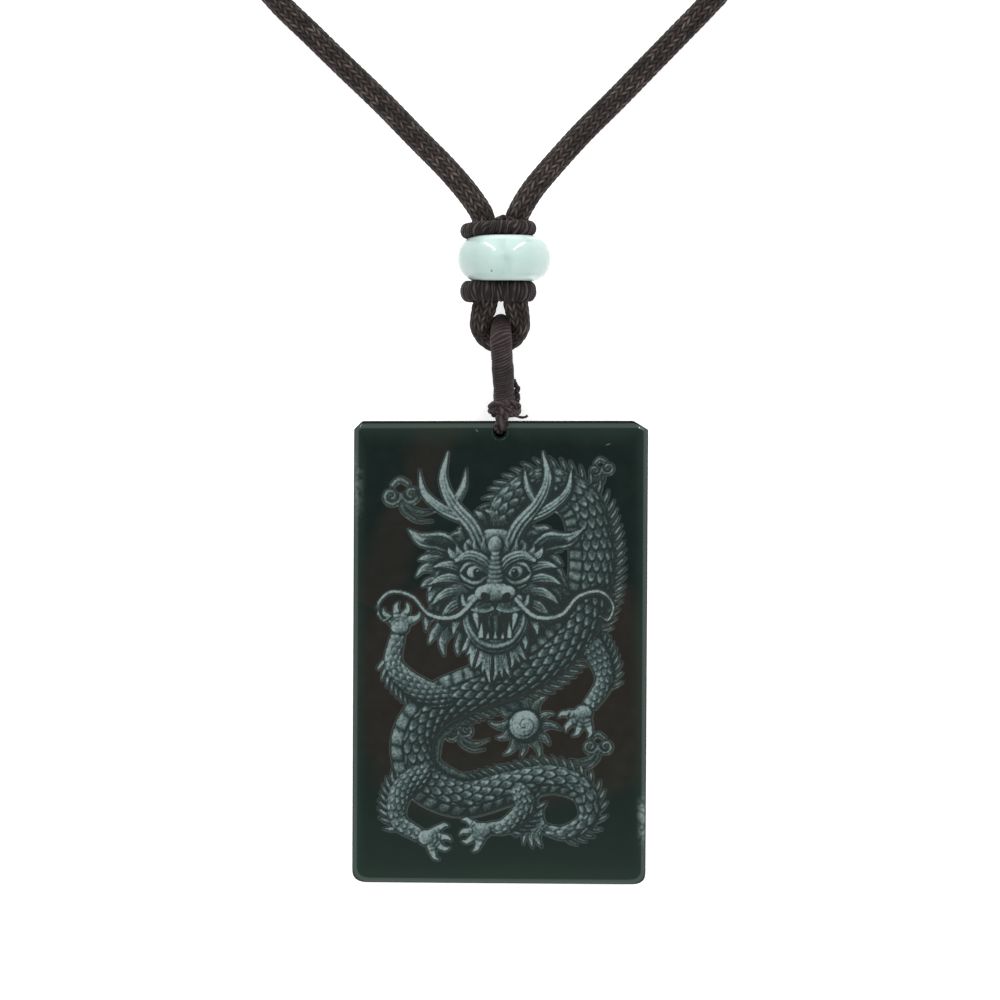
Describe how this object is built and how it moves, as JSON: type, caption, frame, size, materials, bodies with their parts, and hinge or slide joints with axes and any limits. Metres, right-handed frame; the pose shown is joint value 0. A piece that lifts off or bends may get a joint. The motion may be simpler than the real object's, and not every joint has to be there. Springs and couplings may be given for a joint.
{
  "type": "jade pendant",
  "caption": "Rectangular dark jade tablet engraved with a dragon, on a hanging loop, bead and braided neck cord.",
  "frame": {"origin": "centre of the tablet's flat back face, which lies on the surface", "axes": "+Z out of the engraved face, +Y from the tablet's foot to its hanging hole, +X to the right of the engraved face"},
  "size_m": [0.0711, 0.1607, 0.0121],
  "materials": {
    "dark_jade": "polished dark green jade with a frosted engraving",
    "pale_jade": "polished pale translucent jade",
    "wound_thread": "tightly wound twisted thread",
    "braided_cord": "round braided cord"
  },
  "bodies": {
    "root": {"jade_tablet": "dark_jade", "bead": "pale_jade", "upper_ring": "wound_thread", "lower_ring": "wound_thread", "cord_bight": "braided_cord", "hanging_loop": "wound_thread", "loop_binding": "wound_thread", "tablet_thread": "wound_thread", "neck_cord_left": "braided_cord", "neck_cord_right": "braided_cord", "neck_cord_end": "braided_cord", "cord_coil": "braided_cord", "coil_tie": "wound_thread", "join_sleeve": "wound_thread"}
  },
  "joints": []
}
